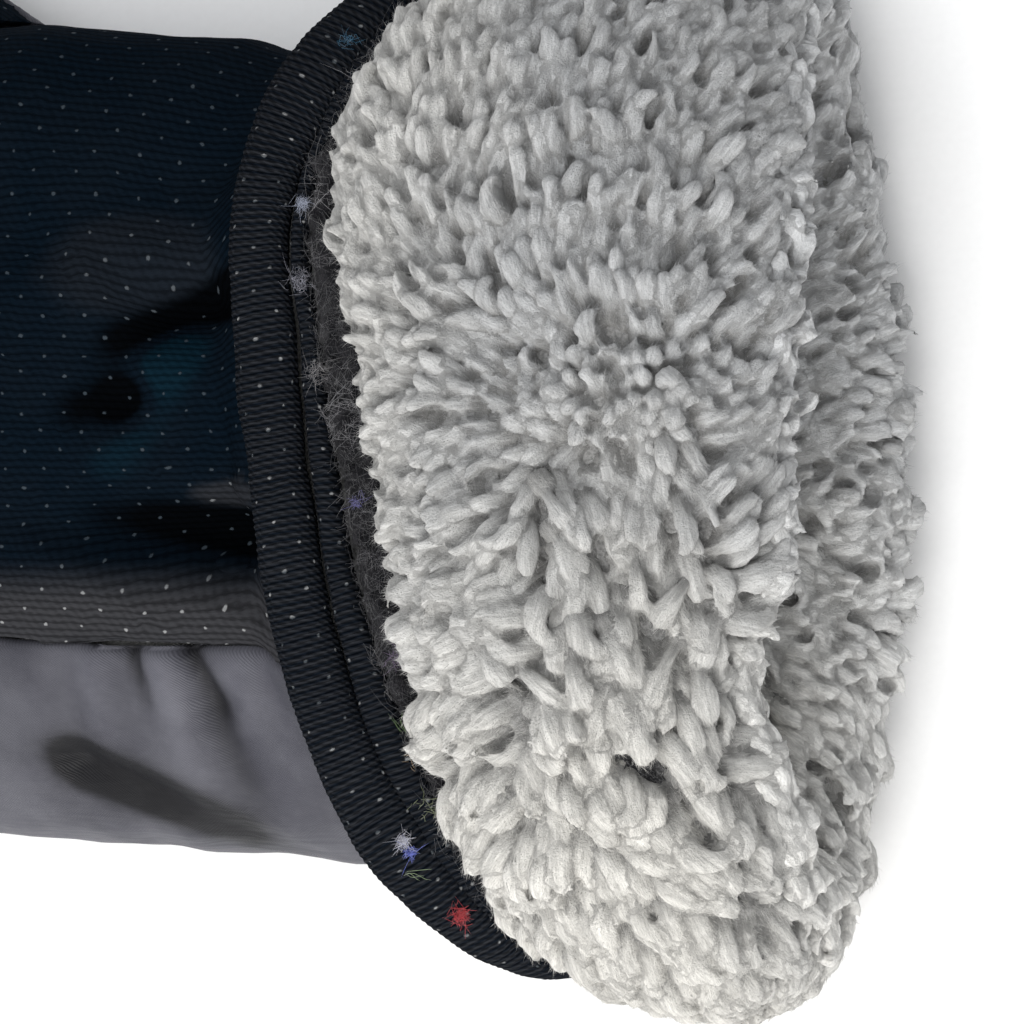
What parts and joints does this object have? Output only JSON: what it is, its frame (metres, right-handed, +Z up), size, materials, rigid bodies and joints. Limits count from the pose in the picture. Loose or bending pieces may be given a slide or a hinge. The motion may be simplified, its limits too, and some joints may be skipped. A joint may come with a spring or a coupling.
{
  "type": "lined motorcycle glove",
  "caption": "Left-hand winter motorcycle glove lying on its palm, with its long-pile fleece lining pulled out of the cuff and folded back.",
  "frame": {"origin": "under the middle of the glove's box, on the surface that it lies on", "axes": "+X out of the cuff with the fingers towards -X, +Y towards the thumb side, +Z up from the palm to the back of the hand"},
  "size_m": [0.3186, 0.1764, 0.0619],
  "materials": {
    "black_knit": "matt knit with fine raised specks",
    "grey_woven": "fine twill nylon with a slight sheen",
    "brushed_charcoal": "matt, brushed and linty",
    "off_white_pile": "long soft pile in locks"
  },
  "bodies": {
    "root": {"back_panel": "black_knit", "palm_panel": "grey_woven", "thumb_back": "black_knit", "thumb_palm": "grey_woven", "fourchette_index_middle": "black_knit", "fourchette_middle_ring": "black_knit", "fourchette_ring_little": "black_knit", "cuff_hem": "black_knit", "hem_facing": "black_knit", "brushed_edge": "brushed_charcoal", "fleece_lining": "off_white_pile"}
  },
  "joints": []
}
